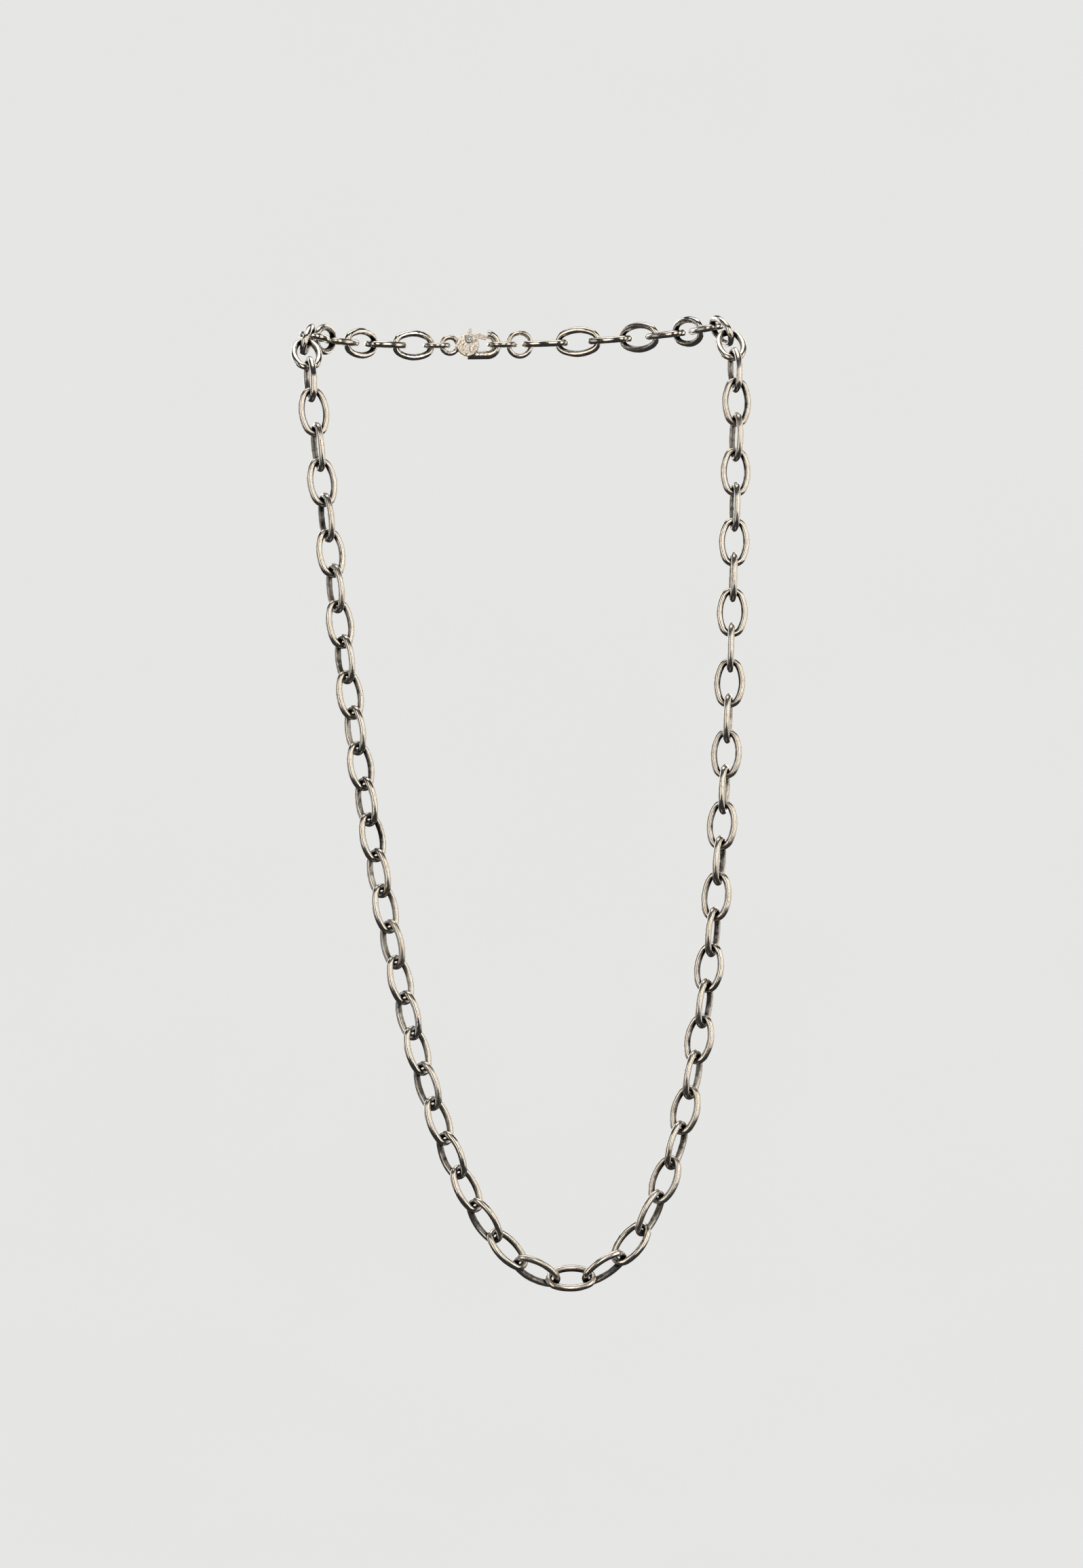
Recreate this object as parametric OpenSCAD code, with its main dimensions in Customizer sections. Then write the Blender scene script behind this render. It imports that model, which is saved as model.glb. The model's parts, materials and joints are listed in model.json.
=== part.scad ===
// Cable chain necklace of closed oval links with a lobster clasp, hung as on a neck.
// X runs across the wearer, the front faces -Y and +Z is up, in millimetres.
// The origin is the middle of the run behind the neck, where the neck holds the chain up.

/* [Link] */
// Thickness of the round wire that the links are bent from
wire_d = 1.5; // [1.3:0.1:1.6]
// Centre-to-centre spacing of neighbouring links
pitch = 8; // [7.8:0.1:8.6]
// Width of a link, outside to outside
link_w = 7.1; // [6.9:0.1:7.5]
// Radius of a link's round ends, on the wire's centreline
end_r = 2.2; // [2:0.1:2.3]
// Play between two wires where they meet
play = 0.3; // [0.2:0.05:0.4]

/* [Hanging loop] */
// How flat the loop's bottom is: horizontal pull over one link's weight
pull_ratio = 1.76; // [1.7:0.01:1.85]
// Roll of the bottom link about the run, lower bar to the front
bottom_roll = 38; // [34:1:44]
// Roll of the topmost hanging link on the left
left_top_roll = 8; // [0:1:25]
// Roll of the topmost hanging link on the right
right_top_roll = -14; // [-20:1:10]
// How late, going up the left strand, its roll changes from the bottom's to the top's
left_roll_power = 3; // [1:0.5:4]
// The same on the right strand
right_roll_power = 2; // [1:0.5:4]

/* [Neck run] */
// Radius of the chain's turn around the neck
neck_r = 47.5; // [47:0.5:48]
// Slope of the neck run, rising to the back
neck_slope = 8; // [6:1:10]

/* [Clasp] */
// Wire of the two jump rings
jump_wire_d = 1.2; // [1:0.1:1.2]
// Inner diameter of a jump ring
jump_inner_d = 4.3; // [4.2:0.1:4.6]
// Wire of the ring that the claw hooks into
ring_wire_d = 1.3; // [1.2:0.1:1.4]
// Inner diameter of that ring
ring_inner_d = 4.9; // [4.8:0.1:5.2]
// Length of the clasp between its two contacts
clasp_span = 11.4; // [11.4:0.1:12]

/* [Hidden] */
$fn = 48;
silver = [0.76, 0.73, 0.68];
dark_silver = [0.42, 0.4, 0.38];
steel = [0.6, 0.6, 0.62];

// Links in each hanging strand, between the bottom link and the shoulder
strand_links = 26;
// Rise of the three links that carry the strand over the shoulder, from the front one back
shoulder_rise = [68, 48, 26];
// How far the first two of them lean outwards from straight back
shoulder_out = 3;
// Roll of the second and third of them, before the quarter turn of every other link
shoulder_roll = [-2, 20];
// Links of the neck run behind the shoulder, on the left and on the right
neck_links_left = 6;
neck_links_right = 7;
// Roll of the neck run's even links, outer bar up
neck_roll = 12;

// Half of a link's length and width on the wire's centreline, and the radius of its long sides
half_l = (pitch + wire_d + play) / 2;
half_w = (link_w - wire_d) / 2;
side_r = (pow(half_l - end_r, 2) + pow(half_w, 2) - pow(end_r, 2)) / (2 * (half_w - end_r));
// Half of the angle that a round end turns through
end_turn = atan2(side_r - half_w, half_l - end_r);
// How far the round ends lap over the sides, and how much thinner the sides' wire is
lap_turn = 0.5;
side_thinner = 0.01;
// Distance from a contact to a link wire's centre beyond it
wire_reach = (wire_d + play) / 2;

// Hanging strand: link k leans at atan(k / pull_ratio), as equal links on a light pull do
function lean(k) = atan(k / pull_ratio);
function strand_out(k) = k < 1 ? pitch / 2 : strand_out(k - 1) + pitch * cos(lean(k));
function strand_up(k) = k < 1 ? 0 : strand_up(k - 1) + pitch * sin(lean(k));

// Neck run: points on a sloping circle, by angle from the middle of the back
jump_pitch = jump_inner_d - play;
ring_pitch = ring_inner_d - play;
closure_l = 2 * jump_pitch + clasp_span + ring_pitch;
link_turn = 2 * asin(pitch / 2 / neck_r);
closure_turn = 2 * asin(closure_l / 2 / neck_r);
run_turn = ((neck_links_left + neck_links_right) * link_turn + closure_turn) / 2;

function neck_point(turn) =
    let (deep = neck_r * (1 - cos(turn)))
    [neck_r * sin(turn), -deep * cos(neck_slope), -deep * sin(neck_slope)];

// Shoulder: three links from the strand's top to the neck run. The third turns in to meet the run
shoulder_gap = strand_out(strand_links) - neck_r * sin(run_turn)
    + pitch * (cos(shoulder_rise[0]) + cos(shoulder_rise[1])) * sin(shoulder_out);
shoulder_in = [-shoulder_out, -shoulder_out, asin(shoulder_gap / (pitch * cos(shoulder_rise[2])))];

function shoulder_way(side, i) = [
    -side * sin(shoulder_in[i]) * cos(shoulder_rise[i]),
    cos(shoulder_in[i]) * cos(shoulder_rise[i]),
    sin(shoulder_rise[i])
];
function shoulder_point(side, i) =
    i > 2 ? neck_point(side * run_turn) : shoulder_point(side, i + 1) - pitch * shoulder_way(side, i);

// The strands hang in one upright plane below the front of the shoulders
strand_top = shoulder_point(1, 0);
bottom_z = strand_top.z - strand_up(strand_links);

function strand_point(side, k) =
    [side * strand_out(k), strand_top.y, bottom_z + strand_up(k)];

// A link's flat side turns half way round from each link to the next
function quarter(k) = k % 2 == 0 ? 0 : 90;
function strand_roll(side, k) =
    let (top_roll = side < 0 ? left_top_roll : right_top_roll)
    let (power = side < 0 ? left_roll_power : right_roll_power)
    bottom_roll + (top_roll - bottom_roll) * pow(k / strand_links, power);

function unit(v) = v / norm(v);
// Level direction away from the neck, at right angles to a run that heads along way
function outward(side, way) = side * unit(cross(way, [0, 0, 1]));
// Width direction of a link: from outwards, rolled towards the front or top
function rolled(side, way, out, roll) = cos(roll) * out + sin(roll) * side * cross(out, way);

// Puts children, made along X with their width along Y, half way from one point to another
module between(from, to, width) {
    way = unit(to - from);
    side_way = unit(width);
    up = cross(way, side_way);
    mid = (from + to) / 2;
    multmatrix([
        [way.x, side_way.x, up.x, mid.x],
        [way.y, side_way.y, up.y, mid.y],
        [way.z, side_way.z, up.z, mid.z],
        [0, 0, 0, 1]
    ])
        children();
}

module wire_arc(r, d, start, turn) {
    rotate([0, 0, start])
        rotate_extrude(angle = turn, $fn = 96)
            translate([r, 0])
                circle(d = d);
}

// Four-arc oval of round wire, long way along X. The ends lap over the slightly thinner sides,
// which makes the wire one solid
module link() {
    color(silver)
        for (end = [0, 180])
            rotate([0, 0, end]) {
                translate([half_l - end_r, 0, 0])
                    wire_arc(end_r, wire_d, -end_turn - lap_turn, 2 * (end_turn + lap_turn));
                translate([0, half_w - side_r, 0])
                    wire_arc(side_r, wire_d - side_thinner, end_turn, 180 - 2 * end_turn);
            }
}

module bottom_link() {
    between(strand_point(-1, 0), strand_point(1, 0), [0, -sin(bottom_roll), -cos(bottom_roll)])
        link();
}

module strand_link(side, k) {
    low = strand_point(side, k - 1);
    high = strand_point(side, k);
    way = unit(high - low);
    out = [way.z * side, 0, -way.x * side];
    between(low, high, rolled(side, way, out, strand_roll(side, k) + quarter(k)))
        link();
}

module neck_link(side, from, to, roll) {
    way = unit(to - from);
    between(from, to, rolled(side, way, outward(side, way), roll))
        link();
}

// All links that rest on the neck: three over each shoulder and the run behind it
module neck_links() {
    for (side = [-1, 1]) {
        count = side < 0 ? neck_links_left : neck_links_right;
        for (i = [0:2])
            neck_link(
                side,
                shoulder_point(side, i),
                shoulder_point(side, i + 1),
                (i == 0 ? strand_roll(side, strand_links) : shoulder_roll[i - 1])
                    + quarter(strand_links + 1 + i)
            );
        for (i = [0:count - 1])
            neck_link(
                side,
                neck_point(side * (run_turn - i * link_turn)),
                neck_point(side * (run_turn - (i + 1) * link_turn)),
                neck_roll + quarter(strand_links + 4 + i)
            );
    }
}

// The closure lies on the chord between the last links of the neck run, from left to right
closure_from = neck_point(-run_turn + neck_links_left * link_turn);
closure_to = neck_point(run_turn - neck_links_right * link_turn);
closure_way = unit(closure_to - closure_from);
closure_flat = rolled(1, -closure_way, outward(1, -closure_way), neck_roll);
closure_upright = rolled(1, -closure_way, outward(1, -closure_way), neck_roll + 90);

module on_closure(start, length, width) {
    between(closure_from + start * closure_way, closure_from + (start + length) * closure_way, width)
        children();
}

// Round ring with the fine cut that it is opened at
module cut_ring(inner_d, ring_d, cut) {
    wire_arc((inner_d + ring_d) / 2, ring_d, 90 + cut / 2, 360 - cut);
}

module jump_rings() {
    color(silver) {
        on_closure(0, jump_pitch, closure_flat)
            cut_ring(jump_inner_d, jump_wire_d, 2);
        on_closure(closure_l - jump_pitch, jump_pitch, closure_upright)
            cut_ring(jump_inner_d, jump_wire_d, 2);
    }
}

module end_ring() {
    color(silver)
        on_closure(jump_pitch + clasp_span, ring_pitch, closure_flat)
            rotate_extrude($fn = 96)
                translate([(ring_inner_d + ring_wire_d) / 2, 0])
                    circle(d = ring_wire_d);
}

// Clasp, drawn from its bail contact at x = 0 to its claw contact at x = clasp_span
bail_wire_d = 1.2;
bail_inner_d = 2.6;
claw_wire_d = 2;
claw_r = 2.4;
body_t = 2.8;
slot_t = 1.4;
gate_t = 1.1;
hub_r = 2.7;
hub_x = 5.3;
pin_x = 5.5;
pin_y = 1.3;
pin_d = 0.9;
pin_head_d = 1.5;
pin_head_t = 0.2;
boss_r = 1.1;
gate_gap = 0.15;
gate_tip_r = 0.55;
spring_wire_d = 0.3;
spring_r = 0.45;
bail_x = bail_inner_d / 2 - play / 2;
claw_x = clasp_span + (claw_wire_d + play) / 2 - claw_r;

module on_clasp() {
    on_closure(jump_pitch, clasp_span, closure_upright)
        translate([-clasp_span / 2, 0, 0])
            children();
}

// Round-ended flat bar between two points
module bar(from, to, r, t) {
    way = to - from;
    translate([from.x, from.y, 0]) {
        cylinder(r = r, h = t, center = true);
        rotate([0, 0, atan2(way.y, way.x)])
            translate([0, -r, -t / 2])
                cube([norm(way), 2 * r, t]);
    }
    translate([to.x, to.y, 0])
        cylinder(r = r, h = t, center = true);
}

module rod(from, to, d) {
    way = to - from;
    translate([from.x, from.y, 0])
        rotate([0, 90, atan2(way.y, way.x)])
            cylinder(d = d, h = norm(way));
}

module clasp_body() {
    slot_floor = -1.45;
    color(dark_silver)
        on_clasp()
            difference() {
                union() {
                    translate([bail_x, 0, 0])
                        wire_arc((bail_inner_d + bail_wire_d) / 2, bail_wire_d, 0, 360);
                    translate([hub_x, 0, 0])
                        cylinder(r = hub_r, h = body_t, center = true);
                    translate([claw_x, 0, 0])
                        wire_arc(claw_r, claw_wire_d, -90, 180);
                    rod([hub_x, -claw_r], [claw_x, -claw_r], claw_wire_d);
                }
                translate([pin_x, pin_y, 0])
                    cylinder(r = boss_r + 0.25, h = slot_t, center = true);
                translate([pin_x - 0.8, pin_y, -slot_t / 2])
                    cube([4, 3, slot_t]);
                translate([hub_x - 0.5, slot_floor, -slot_t / 2])
                    cube([4, pin_y - slot_floor, slot_t]);
                translate([pin_x, pin_y, 0])
                    cylinder(d = pin_d, h = body_t + 1, center = true);
            }
}

module clasp_lever() {
    gate_bend = [8, 2.15];
    gate_end = [claw_x - gate_gap - gate_tip_r, 1.65];
    color(silver)
        on_clasp()
            difference() {
                union() {
                    translate([pin_x, pin_y, 0])
                        cylinder(r = boss_r, h = gate_t, center = true);
                    bar([pin_x, pin_y], gate_bend, 0.7, gate_t);
                    bar(gate_bend, gate_end, gate_tip_r, gate_t);
                    bar([pin_x, pin_y], [pin_x + 0.5, 3.4], 0.5, gate_t);
                }
                translate([pin_x, pin_y, 0])
                    cylinder(d = pin_d + 0.2, h = gate_t + 1, center = true);
            }
}

module clasp_pin() {
    color(steel)
        on_clasp()
            translate([pin_x, pin_y, 0]) {
                cylinder(d = pin_d, h = body_t, center = true);
                for (face = [-1, 1])
                    translate([0, 0, face * (body_t + pin_head_t) / 2])
                        cylinder(d = pin_head_d, h = pin_head_t, center = true);
            }
}

// Hairpin spring under the lever: one leg on the slot's floor, the other against the gate
module clasp_spring() {
    eye = [pin_x + 0.2, -0.72];
    leg_rise = 30;
    leg_l = 2.3;
    lower = eye + spring_r * [0, -1];
    upper = eye + spring_r * [-sin(leg_rise), cos(leg_rise)];
    color(steel)
        on_clasp() {
            translate([eye.x, eye.y, 0])
                wire_arc(spring_r, spring_wire_d, 90 + leg_rise, 180 - leg_rise);
            rod(lower, lower + leg_l * [1, 0], spring_wire_d);
            rod(upper, upper + leg_l * [cos(leg_rise), sin(leg_rise)], spring_wire_d);
        }
}

function two_digits(k) = str(k < 10 ? "0" : "", k);
function strand_name(side, k) = str(side < 0 ? "left_link_" : "right_link_", two_digits(k));

neck_links();
bottom_link();
for (side = [-1, 1], k = [1:strand_links])
    strand_link(side, k);
jump_rings();
end_ring();
clasp_body();
clasp_lever();
clasp_pin();
clasp_spring();
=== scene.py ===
"""Looks of the cable chain necklace: handmade oval links in oxidised silver, rings and a lobster clasp."""
import json
import math

import bpy
import numpy as np
from mathutils import Matrix, Vector
from mathutils.bvhtree import BVHTree


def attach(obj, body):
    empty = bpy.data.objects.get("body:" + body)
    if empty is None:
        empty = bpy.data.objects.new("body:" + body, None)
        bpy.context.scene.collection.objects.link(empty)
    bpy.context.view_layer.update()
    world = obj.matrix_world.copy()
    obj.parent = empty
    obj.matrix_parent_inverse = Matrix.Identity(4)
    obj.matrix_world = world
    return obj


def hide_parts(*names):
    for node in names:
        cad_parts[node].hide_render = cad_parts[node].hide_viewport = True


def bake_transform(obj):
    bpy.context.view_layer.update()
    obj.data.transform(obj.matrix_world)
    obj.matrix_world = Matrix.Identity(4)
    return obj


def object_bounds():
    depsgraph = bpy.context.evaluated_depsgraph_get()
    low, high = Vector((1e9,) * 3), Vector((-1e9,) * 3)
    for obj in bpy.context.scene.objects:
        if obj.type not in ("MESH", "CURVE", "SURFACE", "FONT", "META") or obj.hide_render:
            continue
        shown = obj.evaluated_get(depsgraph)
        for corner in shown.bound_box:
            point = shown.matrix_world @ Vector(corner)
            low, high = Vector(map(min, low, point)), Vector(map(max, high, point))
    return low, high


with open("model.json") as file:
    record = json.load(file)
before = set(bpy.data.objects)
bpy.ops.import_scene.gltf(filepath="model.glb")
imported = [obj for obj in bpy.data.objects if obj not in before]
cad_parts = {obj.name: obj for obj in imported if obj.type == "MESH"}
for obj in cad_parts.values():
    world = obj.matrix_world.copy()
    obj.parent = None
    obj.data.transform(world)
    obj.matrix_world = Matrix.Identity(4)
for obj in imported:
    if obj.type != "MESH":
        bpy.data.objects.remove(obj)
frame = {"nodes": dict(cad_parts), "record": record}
cad_low, cad_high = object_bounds()
MM = 0.001
NODES = frame["nodes"]
BODY_OF = {node: body for body, nodes in frame["record"]["behaviour"]["bodies"].items() for node in nodes}

# ---------------------------------------------------------------- the CAD's own sizes, in millimetres
# The link's wire and its outside width
WIRE = 1.5
LINK_W = 7.1
# The wire's middle line: the radius of its ends, half its length and half its width
END_R = 2.2
HALF_L = 4.9
HALF_W = (LINK_W - WIRE) / 2
# The radius of its long sides, and half the turn of each end's arc
SIDE_R = ((HALF_L - END_R) ** 2 + HALF_W ** 2 - END_R ** 2) / (2 * (HALF_W - END_R))
END_TURN = math.atan2(SIDE_R - HALF_W, HALF_L - END_R)
# The wires of the cut jump rings and of the soldered end ring
JUMP_WIRE = 1.2
RING_WIRE = 1.3

# ---------------------------------------------------------------- the shaped wires
# How far the shaped wires stay inside the CAD's: on average, and at least
LINK_INSET = 0.012
RING_INSET = 0.016
LEAST_INSET = 0.004
# Steps along a link, along a ring, and around either wire
LINK_STEPS, RING_STEPS, AROUND = 144, 132, 28


# ---------------------------------------------------------------- small mesh tools
def points_of(obj):
    """An object's vertices, in millimetres."""
    co = np.empty(len(obj.data.vertices) * 3)
    obj.data.vertices.foreach_get("co", co)
    return co.reshape(-1, 3) / MM


def loose_parts(obj):
    """The separate shells of a mesh, each as an array of its points in millimetres."""
    co = points_of(obj)
    keys, same = np.unique(np.round(co, 3), axis=0, return_inverse=True)
    same = same.ravel()
    label = np.arange(len(keys))
    edges = np.empty(len(obj.data.edges) * 2, np.int64)
    obj.data.edges.foreach_get("vertices", edges)
    edges = same[edges.reshape(-1, 2)]
    while True:
        low = label.copy()
        np.minimum.at(low, edges[:, 0], label[edges[:, 1]])
        np.minimum.at(low, edges[:, 1], label[edges[:, 0]])
        low = low[low]
        if (low == label).all():
            break
        label = low
    return [keys[label == v] for v in np.unique(label)]


def axes_of(points):
    """Centre, long axis, width axis and normal of a flat oval's points."""
    mid = (points.min(0) + points.max(0)) / 2
    for _ in range(3):
        vectors = np.linalg.eigh(np.cov((points - mid).T))[1]
        local = (points - mid) @ vectors
        mid = mid + vectors @ ((local.max(0) + local.min(0)) / 2)
    long_way, normal = vectors[:, 2], vectors[:, 0]
    if long_way[np.argmax(np.abs(long_way))] < 0:
        long_way = -long_way
    if normal[1] > 0:
        normal = -normal
    return mid, long_way, np.cross(normal, long_way), normal


def corners_of(obj):
    """Every triangle's three corners, in millimetres."""
    obj.data.calc_loop_triangles()
    tri = np.empty(len(obj.data.loop_triangles) * 3, np.int64)
    obj.data.loop_triangles.foreach_get("vertices", tri)
    return points_of(obj)[tri.reshape(-1, 3)]


def smooth(a, b, x):
    """A smooth step from 0 at a to 1 at b, which may be below a."""
    t = np.clip((x - a) / (b - a), 0, 1)
    return t * t * (3 - 2 * t)


def waves(rng, x, count, low, high):
    """Smooth periodic noise over x, which runs from 0 to 1 around a closed wire."""
    out = np.zeros_like(x)
    for _ in range(count):
        k = rng.integers(low, high + 1)
        out = out + rng.normal() * np.sin(2 * np.pi * (k * x + rng.random())) / math.sqrt(count)
    return out


def lumps(rng, s, turn, kinds):
    """Shallow unevenness all over a wire. Each kind is (waves around it, waves along it)."""
    return sum(rng.normal() * np.cos(k * turn[None] + 2 * np.pi * (m * s[:, None] + rng.random()))
               for k, m in kinds)


def round_wire():
    """The angles of the points around a wire. 0 is on the outside of the link or ring."""
    return np.arange(AROUND) * 2 * np.pi / AROUND


def oval_line(steps):
    """Points and outward normals of the four-arc oval, evenly spaced, starting half way along a side."""
    arcs = [(0, HALF_W - SIDE_R, SIDE_R, math.pi / 2, math.pi - END_TURN),
            (-(HALF_L - END_R), 0, END_R, math.pi - END_TURN, math.pi + END_TURN),
            (0, SIDE_R - HALF_W, SIDE_R, math.pi + END_TURN, 2 * math.pi - END_TURN),
            (HALF_L - END_R, 0, END_R, -END_TURN, END_TURN),
            (0, HALF_W - SIDE_R, SIDE_R, END_TURN, math.pi / 2)]
    lengths = [r * (b - a) for _, _, r, a, b in arcs]
    total = sum(lengths)
    points, outs = [], []
    for s in np.arange(steps) * total / steps:
        i = 0
        while s > lengths[i] + 1e-9 and i < 4:
            s -= lengths[i]
            i += 1
        cx, cy, r, a, _ = arcs[i]
        t = a + s / r
        points.append((cx + r * math.cos(t), cy + r * math.sin(t)))
        outs.append((math.cos(t), math.sin(t)))
    return np.array(points), np.array(outs), total


def tube_mesh(name, line, outs, normal, radii, length, closed=True):
    """A swept wire. line, outs and normal have a row for each step along it, and radii has a value for each
    point around it too. The attribute "grain" holds the wire's own coordinates, for marks along it."""
    rings, around = radii.shape
    turn = round_wire()
    co = (line[:, None] + radii[:, :, None] * (np.cos(turn)[None, :, None] * outs[:, None]
                                               + np.sin(turn)[None, :, None] * normal[:, None]))
    steps = rings if closed else rings - 1
    i, j = np.meshgrid(np.arange(steps), np.arange(around), indexing="ij")
    i, j = i.ravel(), j.ravel()
    i2, j2 = (i + 1) % rings, (j + 1) % around
    faces = np.stack([i * around + j, i2 * around + j, i2 * around + j2, i * around + j2], 1)
    verts = co.reshape(-1, 3)
    caps = []
    if not closed:
        caps = [list(range(around)), [(rings - 1) * around + k for k in range(around)][::-1]]
    mesh = bpy.data.meshes.new(name)
    mesh.from_pydata((verts * MM).tolist(), [], faces.tolist() + caps)
    grain = np.zeros((len(faces) * 4 + around * len(caps), 3), np.float32)
    s = (np.stack([i, i + 1, i + 1, i], 1) * length / rings).ravel()
    a = turn[np.stack([j, j, j2, j2], 1)].ravel()
    grain[:len(faces) * 4] = np.stack([s, WIRE / 2 * np.cos(a), WIRE / 2 * np.sin(a)], 1)
    attribute = mesh.attributes.new("grain", "FLOAT_VECTOR", "CORNER")
    attribute.data.foreach_set("vector", grain.ravel())
    mesh.polygons.foreach_set("use_smooth", [True] * len(mesh.polygons))
    mesh.update()
    return mesh, verts


def nearest(points, line):
    """Distance from each point to the nearest point of a line of points."""
    out = np.full(len(points), 1e9)
    for k in range(0, len(line), 24):
        d = np.linalg.norm(points[:, None] - line[None, k:k + 24], axis=2).min(1)
        out = np.minimum(out, d)
    return out


def surface_gap(points, node):
    """Distance in millimetres from each point to a CAD node's surface, up to 1."""
    corners = corners_of(NODES[node])
    near = ((corners > points.min(0) - 1) & (corners < points.max(0) + 1)).all(2).any(1)
    if not near.any():
        return np.full(len(points), 1.0)
    corners = corners[near]
    tree = BVHTree.FromPolygons(corners.reshape(-1, 3).tolist(),
                                np.arange(len(corners) * 3).reshape(-1, 3).tolist())
    found = (tree.find_nearest(Vector(p), 1.0) for p in points)
    return np.array([1.0 if hit[3] is None else hit[3] for hit in found])


def paint(mesh, name, values):
    """Stores a value for each vertex, which the material reads by name."""
    attribute = mesh.attributes.new(name, "FLOAT", "POINT")
    attribute.data.foreach_set("value", np.asarray(values, np.float32).ravel())


def facing_out(mesh):
    """Whether a closed shell's faces point outwards, by the sign of its volume."""
    mesh.calc_loop_triangles()
    co = np.empty(len(mesh.vertices) * 3)
    mesh.vertices.foreach_get("co", co)
    co = co.reshape(-1, 3)
    tri = np.empty(len(mesh.loop_triangles) * 3, np.int64)
    mesh.loop_triangles.foreach_get("vertices", tri)
    a, b, c = (co[tri.reshape(-1, 3)[:, k]] for k in range(3))
    return (a * np.cross(b, c)).sum() > 0


def finish(piece, mesh, patina_and_shade, tone, material, node, rides=True):
    """Paints a mesh, gives it its material, and puts it on its body in place of its CAD node."""
    paint(mesh, "patina_and_shade", np.clip(patina_and_shade, 0, 1.3))
    paint(mesh, "tone", np.full(len(mesh.vertices), tone))
    if not facing_out(mesh):
        mesh.flip_normals()
    obj = bpy.data.objects.new(piece, mesh)
    bpy.context.scene.collection.objects.link(obj)
    mesh.materials.clear()
    mesh.materials.append(material)
    if rides:
        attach(obj, BODY_OF[node])
    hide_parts(node)
    return obj


# ---------------------------------------------------------------- materials
class Nodes:
    """Short calls for building a material's node tree."""

    def __init__(self, name):
        self.material = bpy.data.materials.new(name)
        self.material.use_nodes = True
        self.tree = self.material.node_tree
        self.tree.nodes.clear()
        self.out = self.tree.nodes.new("ShaderNodeOutputMaterial")

    def link(self, value, socket):
        if isinstance(value, bpy.types.NodeSocket):
            self.tree.links.new(value, socket)
        else:
            socket.default_value = value

    def add(self, kind, **settings):
        node = self.tree.nodes.new(kind)
        for key, value in settings.items():
            setattr(node, key, value)
        return node

    def place(self):
        return self.add("ShaderNodeTexCoord").outputs["Object"]

    def math(self, operation, a, b=0.0, clamp=False):
        node = self.add("ShaderNodeMath", operation=operation, use_clamp=clamp)
        self.link(a, node.inputs[0])
        self.link(b, node.inputs[1])
        return node.outputs[0]

    def plus(self, value, weight, pattern, middle=0.0, clamp=False):
        """value + weight x (pattern - middle)"""
        if middle:
            pattern = self.math("SUBTRACT", pattern, middle)
        return self.math("ADD", value, self.math("MULTIPLY", pattern, weight), clamp)

    def ramp(self, value, low, high, to_low=0.0, to_high=1.0):
        node = self.add("ShaderNodeMapRange", interpolation_type="SMOOTHSTEP")
        for index, v in enumerate((value, low, high, to_low, to_high)):
            self.link(v, node.inputs[index])
        return node.outputs[0]

    def mix(self, factor, a, b, blend="MIX"):
        node = self.add("ShaderNodeMix", data_type="RGBA", blend_type=blend)
        self.link(factor, node.inputs[0])
        self.link(a, node.inputs[6])
        self.link(b, node.inputs[7])
        return node.outputs[2]

    def noise(self, vector, scale, detail=3.0, rough=0.55, distortion=0.0):
        node = self.add("ShaderNodeTexNoise")
        self.link(vector, node.inputs["Vector"])
        node.inputs["Scale"].default_value = scale
        node.inputs["Detail"].default_value = detail
        node.inputs["Roughness"].default_value = rough
        node.inputs["Distortion"].default_value = distortion
        return node.outputs[0]

    def cells(self, vector, scale):
        node = self.add("ShaderNodeTexVoronoi")
        self.link(vector, node.inputs["Vector"])
        node.inputs["Scale"].default_value = scale
        return node.outputs["Distance"]

    def stretched(self, vector, scale):
        node = self.add("ShaderNodeMapping")
        self.link(vector, node.inputs["Vector"])
        node.inputs["Scale"].default_value = scale
        return node.outputs[0]

    def attribute(self, name, output="Fac"):
        return self.add("ShaderNodeAttribute", attribute_name=name).outputs[output]

    def bump(self, height, distance, strength, normal=None):
        node = self.add("ShaderNodeBump")
        self.link(height, node.inputs["Height"])
        node.inputs["Distance"].default_value = distance
        node.inputs["Strength"].default_value = strength
        if normal is not None:
            self.link(normal, node.inputs["Normal"])
        return node.outputs[0]


WORN_SILVER = (0.90, 0.855, 0.79)
GREY_SILVER = (0.50, 0.475, 0.44)
GREY_CAST = (0.48, 0.455, 0.42)
WORN_STEEL = (0.66, 0.66, 0.67)
GREY_STEEL = (0.36, 0.36, 0.37)
# painted reflection of warm wood, laid on the silver in patches
PAINTED_WOOD_REFLECTION = (1.0, 0.93, 0.83, 1)
SCRATCH_GREY = (0.24, 0.225, 0.21, 1)
# black of patina and pits, and of the painted shade where parts touch
PATINA_AND_SHADE_BLACK = (0.028, 0.028, 0.03, 1)


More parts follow.
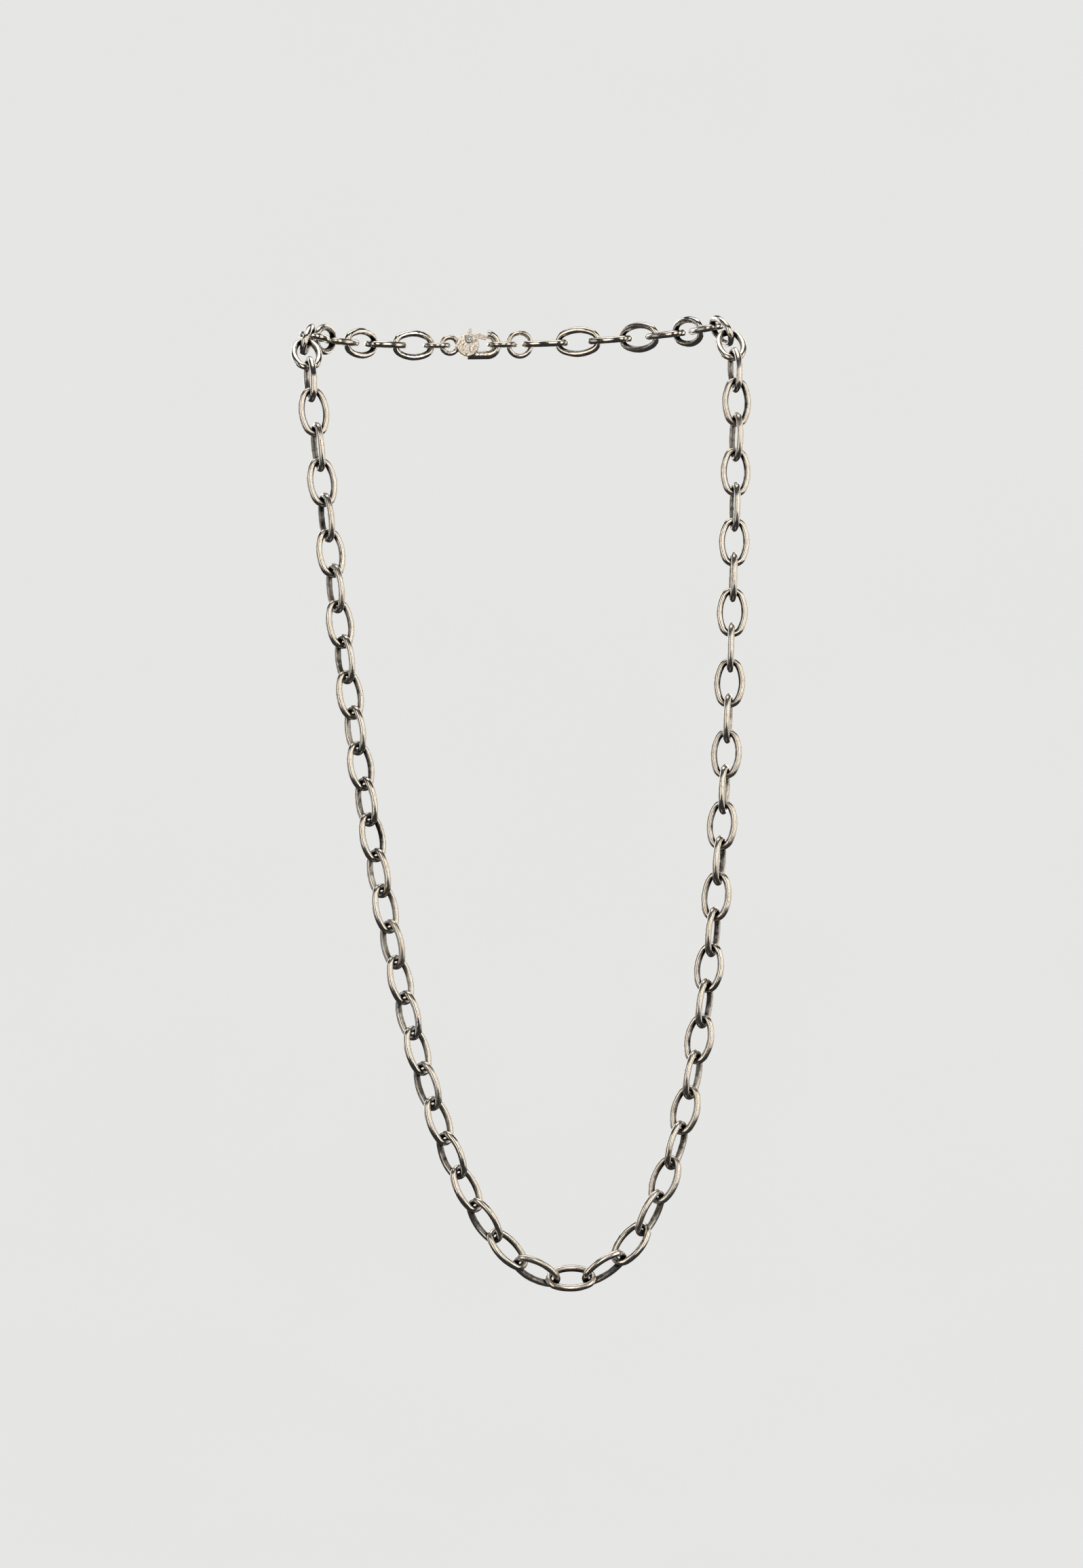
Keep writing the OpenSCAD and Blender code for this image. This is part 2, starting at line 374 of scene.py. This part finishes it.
def oxidised_silver(name, bright, mid, grain=True, shine=0.0):
    """Worn silver over a black patina. Vertex values: blackness 0 worn to 1 black, from patina and from
    painted shade where parts touch; tone a little per piece.
    """
    n = Nodes(name)
    place = n.place()
    along = n.attribute("grain", "Vector") if grain else n.stretched(place, (1 / MM, 1 / MM, 1 / MM))
    patina_and_shade, tone = n.attribute("patina_and_shade"), n.attribute("tone")
    cloud = n.noise(place, 420, 3.0)
    spots = n.noise(place, 1900, 4.0, 0.65)
    streaks = n.noise(n.stretched(along, (0.55, 7.0, 7.0)), 1.0, 5.0, 0.6, 0.2)
    scratches = n.noise(n.stretched(along, (0.5, 16.0, 16.0)), 1.0, 3.0, 0.7)
    cross = n.noise(n.stretched(along, (9.0, 2.0, 2.0)), 1.0, 3.0, 0.6, 0.8)
    pits = n.cells(n.stretched(along, (1.1, 2.4, 2.4)), 1.0)
    # how black: the painted value, broken up by cloud, streaks and spots
    broken = n.plus(patina_and_shade, 0.75, cloud, 0.5)
    broken = n.plus(broken, 0.55, streaks, 0.5)
    broken = n.plus(broken, 0.35, spots, 0.5)
    black = n.ramp(broken, 0.44, 0.96)
    grey = n.ramp(broken, 0.10, 0.74)
    pit = n.math("MULTIPLY", n.ramp(pits, 0.06, 0.30, 1.0, 0.0), n.ramp(spots, 0.45, 0.57))
    # the colours, from bright metal to black
    colour = n.mix(grey, (*bright, 1), (*mid, 1))
    # patches of painted reflection of warm wood
    wood_reflection_patches = n.mix(n.ramp(cloud, 0.35, 0.7), (1, 1, 1, 1), PAINTED_WOOD_REFLECTION)
    tinted = n.mix(0.8, colour, wood_reflection_patches, "MULTIPLY")
    scratched = n.mix(n.math("MULTIPLY", n.ramp(scratches, 0.55, 0.75), 0.28), tinted, SCRATCH_GREY)
    blackened = n.mix(n.math("MAXIMUM", black, n.math("MULTIPLY", pit, 0.6)), scratched, PATINA_AND_SHADE_BLACK)
    rough = n.plus(0.24 - shine, 0.12, grey)
    rough = n.plus(rough, 0.12, black)
    rough = n.plus(rough, 0.16, streaks, 0.5)
    rough = n.plus(rough, 0.08, tone, clamp=True)
    # unevenness of the surface: pattern, height in metres, strength
    normal = None
    for pattern, height, strength in ((cloud, 0.00004, 0.4), (spots, 0.000008, 0.3),
                                      (scratches, 0.000008, 0.3), (cross, 0.000006, 0.2),
                                      (pit, -0.00002, 0.4)):
        normal = n.bump(pattern, height, strength, normal)
    shader = n.add("ShaderNodeBsdfPrincipled")
    n.link(blackened, shader.inputs["Base Color"])
    n.link(1.0, shader.inputs["Metallic"])
    n.link(rough, shader.inputs["Roughness"])
    n.link(normal, shader.inputs["Normal"])
    n.link(shader.outputs[0], n.out.inputs[0])
    return n.material


LINK_SILVER = oxidised_silver("link_silver", WORN_SILVER, GREY_SILVER)
RING_SILVER = oxidised_silver("ring_silver", WORN_SILVER, GREY_SILVER, shine=0.04)
CAST_SILVER = oxidised_silver("cast_silver", WORN_SILVER, GREY_CAST, grain=False, shine=0.02)
SPRING_STEEL = oxidised_silver("spring_steel", WORN_STEEL, GREY_STEEL, grain=False, shine=0.06)

# ---------------------------------------------------------------- links
# Polish grows on the links from the first height to the second, on the shoulders, in millimetres
POLISH_FROM, POLISH_FULL = -26, -8
OVAL, OVAL_OUT, LINK_LENGTH = oval_line(LINK_STEPS)

links = []
for node, obj in NODES.items():
    if "_link_" in node or node in ("bottom_link", "neck_links"):
        for number, part in enumerate(loose_parts(obj)):
            centre, long_way, wide, normal = axes_of(part)
            piece = f"{node}_{number + 1:02d}" if node == "neck_links" else node
            line = centre + OVAL[:, :1] * long_way + OVAL[:, 1:] * wide
            links.append({"node": node, "piece": piece, "centre": centre, "line": line,
                          "axes": (long_way, wide, normal)})
links.sort(key=lambda link: link["piece"])
centres = np.array([link["centre"] for link in links])


def link_wire(rng, s, turn):
    """The radius of a link's wire at every point, and the distance along the wire from the solder joint."""
    radius = np.full((LINK_STEPS, AROUND), WIRE / 2 - LINK_INSET)
    radius += 0.006 * waves(rng, s, 6, 5, 14)[:, None]
    radius += 0.0032 * lumps(rng, s, turn, ((2, 3), (2, 7), (3, 5), (4, 9), (5, 14), (3, 19)))
    # wear flats where the links rub inside each end
    end = np.abs(OVAL[:, 0]) / HALF_L
    inner = np.clip(-np.cos(turn), 0, 1)
    radius -= 0.035 * smooth(0.93, 1.0, end)[:, None] * inner[None] ** 2
    # the solder joint, about half way along one side: a bead with a groove beside it
    seam_at = 0.0 if rng.random() < 0.5 else 0.5
    seam_at += 0.02 * rng.normal()
    from_seam = ((s - seam_at + 0.5) % 1 - 0.5) * LINK_LENGTH
    bead = np.exp(-(from_seam / 0.32) ** 2)[:, None]
    radius += bead * (0.012 + 0.010 * np.cos(turn - rng.random() * 6.3))[None]
    groove = np.exp(-((from_seam - 0.28) / 0.07) ** 2)[:, None]
    radius -= groove * 0.012 * np.clip(np.cos(turn - rng.random() * 6.3) + 0.4, 0, 1)[None]
    return np.minimum(radius, WIRE / 2 - LEAST_INSET), from_seam


def link_patina_and_shade(link, verts, turn, from_seam):
    """How black a link is: patina most inside the oval and a little at the joint, and painted shade where
    the neighbours touch.
    """
    near = np.full(len(verts), 1e9)
    for k in np.argsort(np.linalg.norm(centres - link["centre"], axis=1))[1:4]:
        near = np.minimum(near, nearest(verts, links[k]["line"][::2]))
    gap = near - WIRE / 2
    inner_side = np.tile(np.clip(-np.cos(turn), -1, 1), (LINK_STEPS, 1)).ravel()
    face_side = np.tile(np.abs(np.sin(turn)), (LINK_STEPS, 1)).ravel()
    # patina on the inside of the oval, and painted shade where the neighbouring links come close
    patina_and_shade = 0.10 + 0.62 * smooth(0.10, 0.90, inner_side) + 1.05 * smooth(1.15, 0.08, gap)
    patina_and_shade -= 0.10 * smooth(0.2, 1.0, -inner_side) + 0.05 * face_side
    return patina_and_shade + 0.125 * np.exp(-(from_seam / 0.5) ** 2).repeat(AROUND)


def make_link(index, link):
    """A link bent by hand, with its solder joint, wear, patina and painted shade."""
    rng = np.random.default_rng(1000 + index)
    long_way, wide, normal = link["axes"]
    s = np.arange(LINK_STEPS) / LINK_STEPS
    turn = round_wire()
    # the oval's width, ends and plane wander by a few hundredths
    outs = OVAL_OUT[:, :1] * long_way + OVAL_OUT[:, 1:] * wide
    line = link["line"] + 0.012 * waves(rng, s, 4, 2, 4)[:, None] * outs
    line = line + 0.018 * waves(rng, s, 3, 2, 3)[:, None] * normal
    radius, from_seam = link_wire(rng, s, turn)
    piece = link["piece"] + "_look"
    normals = np.repeat(normal[None], LINK_STEPS, 0)
    mesh, verts = tube_mesh(piece, line, outs, normals, radius, LINK_LENGTH)
    patina_and_shade = link_patina_and_shade(link, verts, turn, from_seam) + 0.08 * rng.normal()
    # the links on the shoulders and behind the neck keep more polish
    tone = 0.5 * rng.normal() - 1.1 * smooth(POLISH_FROM, POLISH_FULL, link["centre"][2])
    finish(piece, mesh, patina_and_shade, tone, LINK_SILVER, link["node"])


for index, link in enumerate(links):
    make_link(index, link)


# ---------------------------------------------------------------- rings
def cut_of(obj, centre, normal, radius):
    """Way from a ring's centre to its cut, from the flat faces that close the wire's ends."""
    corners = corners_of(obj)
    middles = corners.mean(1) - centre
    corners, middles = (v[np.linalg.norm(middles, axis=1) < radius * 1.5] for v in (corners, middles))
    flat = np.cross(corners[:, 1] - corners[:, 0], corners[:, 2] - corners[:, 0])
    flat /= np.linalg.norm(flat, axis=1)[:, None] + 1e-12
    along = np.cross(normal, middles)
    along /= np.linalg.norm(along, axis=1)[:, None]
    way = middles[np.abs((flat * along).sum(1)) > 0.99].mean(0)
    way -= normal * (way @ normal)
    return way / np.linalg.norm(way)


def make_ring(piece, node, part, wire, seed, neighbours, cut):
    """A bent wire ring: open by cut degrees, or with a soldered seam where cut is 0."""
    rng = np.random.default_rng(seed)
    centre, a, b, normal = axes_of(part)
    radius = (np.ptp((part - centre) @ a) - wire) / 2
    if cut:
        a = cut_of(NODES[node], centre, normal, radius)
        b = np.cross(normal, a)
    s = np.arange(RING_STEPS) / (RING_STEPS - 1 if cut else RING_STEPS)
    angle = np.radians(cut / 2) + s * (2 * np.pi - np.radians(cut))
    outs = np.cos(angle)[:, None] * a + np.sin(angle)[:, None] * b
    line = centre + outs * (radius + 0.012 * waves(rng, s, 3, 2, 3))[:, None]
    turn = round_wire()
    radii = np.full((RING_STEPS, AROUND), wire / 2 - RING_INSET)
    radii += 0.004 * waves(rng, s, 6, 5, 14)[:, None]
    radii += 0.003 * lumps(rng, s, turn, ((2, 3), (3, 7), (4, 11)))
    length = 2 * np.pi * radius
    if cut:
        # the saw leaves a slight chamfer at each end of the wire
        end = np.minimum(s, 1 - s) * length
        radii -= 0.05 * smooth(0.12, 0.0, end)[:, None]
    else:
        from_seam = ((s + 0.5) % 1 - 0.5) * length
        radii += (0.011 * np.exp(-(from_seam / 0.35) ** 2))[:, None]
    radii = np.minimum(radii, wire / 2 - LEAST_INSET)
    normals = np.repeat(normal[None], RING_STEPS, 0)
    mesh, verts = tube_mesh(piece, line, outs, normals, radii, length, closed=not cut)
    gap = np.min([surface_gap(verts, other) for other in neighbours], axis=0)
    inner = np.tile(np.clip(-np.cos(turn), -1, 1), (RING_STEPS, 1)).ravel()
    # patina on the inside of the ring, and painted shade near the neighbouring pieces
    patina_and_shade = 0.06 + 0.36 * smooth(0.2, 0.95, inner) + 0.85 * smooth(0.55, 0.0, gap)
    finish(piece, mesh, patina_and_shade, rng.normal() * 0.3, RING_SILVER, node)


for number, part in enumerate(sorted(loose_parts(NODES["jump_rings"]), key=lambda p: p[:, 0].mean())):
    beside = "clasp_body" if number == 0 else "end_ring"
    make_ring(f"jump_ring_{number + 1}_look", "jump_rings", part, JUMP_WIRE, 3000 + number,
              ("neck_links", beside), cut=2)
make_ring("end_ring_look", "end_ring", max(loose_parts(NODES["end_ring"]), key=len), RING_WIRE, 3010,
          ("jump_rings", "clasp_body"), cut=0)


# ---------------------------------------------------------------- clasp: cast body, lever, rivet and spring
def softened(node, voxel, steps):
    """A CAD node's shape with the edges rounded as casting and polishing leave them, in millimetres."""
    source = bpy.data.meshes.new_from_object(NODES[node])
    source.transform(Matrix.Scale(1 / MM, 4))
    obj = bpy.data.objects.new("shaping", source)
    bpy.context.scene.collection.objects.link(obj)
    remesh = obj.modifiers.new("remesh", "REMESH")
    remesh.mode, remesh.voxel_size = "VOXEL", voxel
    soft = obj.modifiers.new("soft", "SMOOTH")
    soft.factor, soft.iterations = 0.5, steps
    mesh = bpy.data.meshes.new_from_object(obj.evaluated_get(bpy.context.evaluated_depsgraph_get()))
    bpy.data.objects.remove(obj)
    bpy.data.meshes.remove(source)
    mesh.polygons.foreach_set("use_smooth", [True] * len(mesh.polygons))
    return mesh


def arrays_of(mesh):
    """A mesh's vertices, their normals, and its edges."""
    co, normal = np.empty(len(mesh.vertices) * 3), np.empty(len(mesh.vertices) * 3)
    mesh.vertices.foreach_get("co", co)
    mesh.vertices.foreach_get("normal", normal)
    edges = np.empty(len(mesh.edges) * 2, np.int64)
    mesh.edges.foreach_get("vertices", edges)
    return co.reshape(-1, 3), normal.reshape(-1, 3), edges.reshape(-1, 2)


def spread(values, edges, steps):
    """Averages values over neighbouring vertices, several times. Columns are spread one by one."""
    values = np.array(values, float)
    if values.ndim > 1:
        return np.stack([spread(column, edges, steps) for column in values.T], 1)
    ends = np.concatenate([edges, edges[:, ::-1]])
    count = np.bincount(ends[:, 0], minlength=len(values)).clip(1)
    for _ in range(steps):
        values = np.bincount(ends[:, 0], values[ends[:, 1]], len(values)) / count
    return values


def make_finding(node, voxel, steps, neighbours, material, seed, marks=0.0, rides=True):
    """A clasp piece: softened CAD shape, hammer marks, patina in its hollows, and painted shade by its
    neighbours.
    """
    rng = np.random.default_rng(seed)
    mesh = softened(node, voxel, steps)
    co, normal, edges = arrays_of(mesh)
    hollow = ((spread(co, edges, 14) - co) * normal).sum(1)
    hollow = spread(hollow, edges, 3)
    bumps = spread(rng.normal(size=len(co)), edges, 10)
    bumps /= bumps.std() + 1e-9
    co = co + normal * (-0.012 + marks * np.clip(bumps, -2, 1))[:, None]
    gap = np.min([surface_gap(co, other) for other in neighbours], axis=0)
    patina_and_shade = 0.10 + 9.0 * np.clip(hollow, 0, 0.08) - 5.0 * np.clip(-hollow, 0, 0.04)
    # painted shade near the neighbouring pieces
    patina_and_shade += 0.75 * smooth(0.45, 0.0, gap)
    mesh.vertices.foreach_set("co", (co * MM).ravel())
    mesh.update()
    return finish(node + "_look", mesh, patina_and_shade, rng.normal() * 0.2, material, node, rides)


make_finding("clasp_body", 0.075, 14, ("clasp_lever", "clasp_pin", "end_ring"),
             CAST_SILVER, seed=3100, marks=0.006)
make_finding("clasp_lever", 0.045, 9, ("clasp_pin",), CAST_SILVER, seed=3101, marks=0.004)
make_finding("clasp_pin", 0.035, 7, ("clasp_lever",), SPRING_STEEL, seed=3102, marks=0.010)
spring = make_finding("clasp_spring", 0.028, 4, ("clasp_lever",),
                      SPRING_STEEL, seed=3103, rides=False)
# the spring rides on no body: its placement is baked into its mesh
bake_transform(spring)

# ---------------------------------------------------------------- stage: one pale sweep, round the object
middle = (cad_low + cad_high) / 2
# The floor, in metres, is well below the lowest link, which hangs free
FLOOR_Z = cad_low.z - 0.16


def sweep(radius=2.4, cove=0.9, height=2.6, steps=96):
    """A round floor that curves up into a wall."""
    profile = [(0.001, 0.0), (0.4, 0.0), (radius - cove, 0.0)]
    profile += [(radius - cove + cove * math.sin(t), cove - cove * math.cos(t))
                for t in np.linspace(0.08, math.pi / 2, 16)]
    profile += [(radius, height)]
    verts, faces = [], []
    for r, z in profile:
        for k in range(steps):
            t = 2 * math.pi * k / steps
            verts.append((middle.x + r * math.cos(t), middle.y + r * math.sin(t), FLOOR_Z + z))
    for i in range(len(profile) - 1):
        for k in range(steps):
            k2 = (k + 1) % steps
            faces.append((i * steps + k, i * steps + k2, (i + 1) * steps + k2, (i + 1) * steps + k))
    faces.append(tuple(range(steps))[::-1])
    mesh = bpy.data.meshes.new("sweep")
    mesh.from_pydata(verts, [], faces)
    mesh.polygons.foreach_set("use_smooth", [True] * len(mesh.polygons))
    obj = bpy.data.objects.new("sweep", mesh)
    bpy.context.scene.collection.objects.link(obj)
    return obj


def pale_paper():
    """Matt paper that glows evenly, so that the edges of the softboxes don't show on it."""
    n = Nodes("pale_paper")
    place = n.place()
    clouds = n.ramp(n.noise(place, 6, 2.0), 0.3, 0.7)
    paper = n.mix(clouds, (0.040, 0.040, 0.039, 1), (0.046, 0.046, 0.045, 1))
    shader = n.add("ShaderNodeBsdfPrincipled")
    n.link(paper, shader.inputs["Base Color"])
    n.link(0.95, shader.inputs["Roughness"])
    n.link(0.1, shader.inputs["Specular IOR Level"])
    n.link(n.bump(n.noise(place, 900, 2.0), 0.0002, 0.2), shader.inputs["Normal"])
    n.link((0.80, 0.80, 0.79, 1), shader.inputs["Emission Color"])
    n.link(0.95, shader.inputs["Emission Strength"])
    n.link(shader.outputs[0], n.out.inputs[0])
    return n.material


backdrop = sweep()
backdrop.data.materials.append(pale_paper())
backdrop.visible_glossy = False


# ---------------------------------------------------------------- light
def softbox(name, azimuth, place, size, glow, colour):
    """A soft rectangular light that faces the object. place is (distance, height), azimuth goes from the
    front to the right, and glow is how bright its surface looks."""
    data = bpy.data.lights.new(name, "AREA")
    data.shape, data.size, data.size_y = "RECTANGLE", size[0], size[1]
    data.energy, data.color = glow * math.pi * size[0] * size[1], colour
    obj = bpy.data.objects.new(name, data)
    turn = math.radians(azimuth)
    way = Vector((place[0] * math.sin(turn), -place[0] * math.cos(turn), place[1]))
    obj.location = middle + way
    obj.rotation_mode = "QUATERNION"
    obj.rotation_quaternion = (-way).to_track_quat("-Z", "Y")
    obj.visible_camera = False
    bpy.context.scene.collection.objects.link(obj)


WARM, NEUTRAL, COOL = (1.0, 0.93, 0.84), (1.0, 0.965, 0.905), (0.90, 0.95, 1.0)
softbox("window_left", -46, (1.25, 0.20), (0.55, 1.4), 1.45, WARM)
softbox("far_left", -98, (1.25, 0.20), (0.5, 1.2), 0.60, COOL)
softbox("window_front", 6, (1.28, 0.35), (0.58, 1.3), 1.65, WARM)
softbox("window_right", 48, (1.25, 0.20), (0.52, 1.4), 1.85, NEUTRAL)
softbox("far_right", 94, (1.25, 0.15), (0.6, 1.3), 1.20, NEUTRAL)
softbox("top", 180, (0.10, 1.10), (0.9, 0.9), 1.5, (1.0, 0.98, 0.95))
softbox("back_left", -142, (1.20, 0.50), (0.6, 1.1), 1.5, COOL)
softbox("back_right", 145, (1.20, 0.45), (0.6, 1.1), 1.4, NEUTRAL)
softbox("back", 186, (1.25, 0.25), (0.55, 1.2), 1.2, WARM)

world = bpy.data.worlds.new("studio")
bpy.context.scene.world = world
world.use_nodes = True
background = world.node_tree.nodes["Background"]
background.inputs["Color"].default_value = (0.95, 0.97, 1.0, 1)
background.inputs["Strength"].default_value = 0.03

# ---------------------------------------------------------------- camera: just below the middle, looking up
CAMERA_AT = (-0.13520, -1.05204, -0.23816)
PITCH, YAW, ROLL = math.radians(7.178), math.radians(7.648), math.radians(-2.908)
LENS, SENSOR = 105.5, 36
ahead = Vector((math.sin(YAW) * math.cos(PITCH), math.cos(YAW) * math.cos(PITCH), math.sin(PITCH)))
level = Vector((math.cos(YAW), -math.sin(YAW), 0))
upright = level.cross(ahead)
right = level * math.cos(ROLL) + upright * math.sin(ROLL)
up = upright * math.cos(ROLL) - level * math.sin(ROLL)
camera_data = bpy.data.cameras.new("camera")
camera_data.sensor_width, camera_data.lens = SENSOR, LENS
camera_data.clip_start, camera_data.clip_end = 0.05, 20
camera = bpy.data.objects.new("camera", camera_data)
camera.location = CAMERA_AT
camera.rotation_mode = "QUATERNION"
camera.rotation_quaternion = Matrix((right, up, -ahead)).transposed().to_quaternion()
bpy.context.scene.collection.objects.link(camera)
bpy.context.scene.camera = camera

bpy.context.scene.view_settings.view_transform = "Standard"
bpy.context.view_layer.update()
